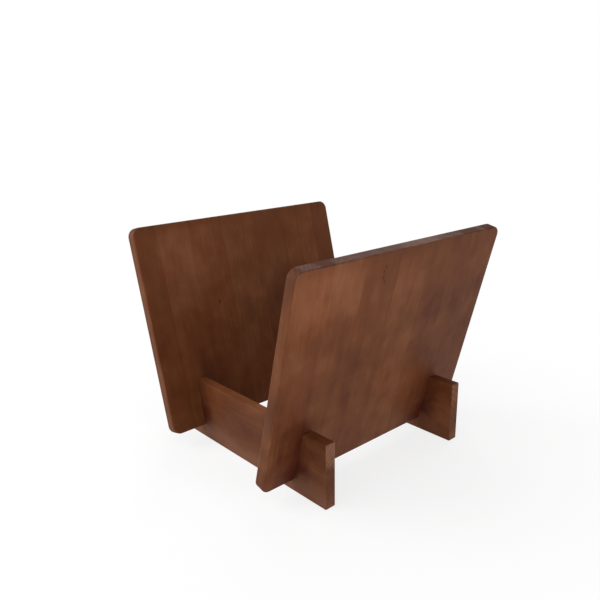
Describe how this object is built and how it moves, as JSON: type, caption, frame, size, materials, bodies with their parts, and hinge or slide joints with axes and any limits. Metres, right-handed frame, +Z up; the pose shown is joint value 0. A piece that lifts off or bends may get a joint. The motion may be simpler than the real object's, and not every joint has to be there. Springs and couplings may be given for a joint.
{
  "type": "record storage stand",
  "caption": "Flat-pack wooden stand whose leaning panels slot over upright rails to hold record sleeves on edge.",
  "frame": {"origin": "on the floor, in the middle of the stand's footprint", "axes": "+X along the panels' width, +Y along the rails from front to back, +Z up"},
  "size_m": [0.29, 0.2798, 0.2436],
  "materials": {
    "panel_wood": "red-brown stain under a thin satin lacquer, grain up the slope",
    "rail_wood": "red-brown stain under a thin satin lacquer, grain along the rail"
  },
  "bodies": {
    "root": {"front_panel": "panel_wood", "rear_panel": "panel_wood", "left_rail": "rail_wood", "right_rail": "rail_wood"}
  },
  "joints": []
}
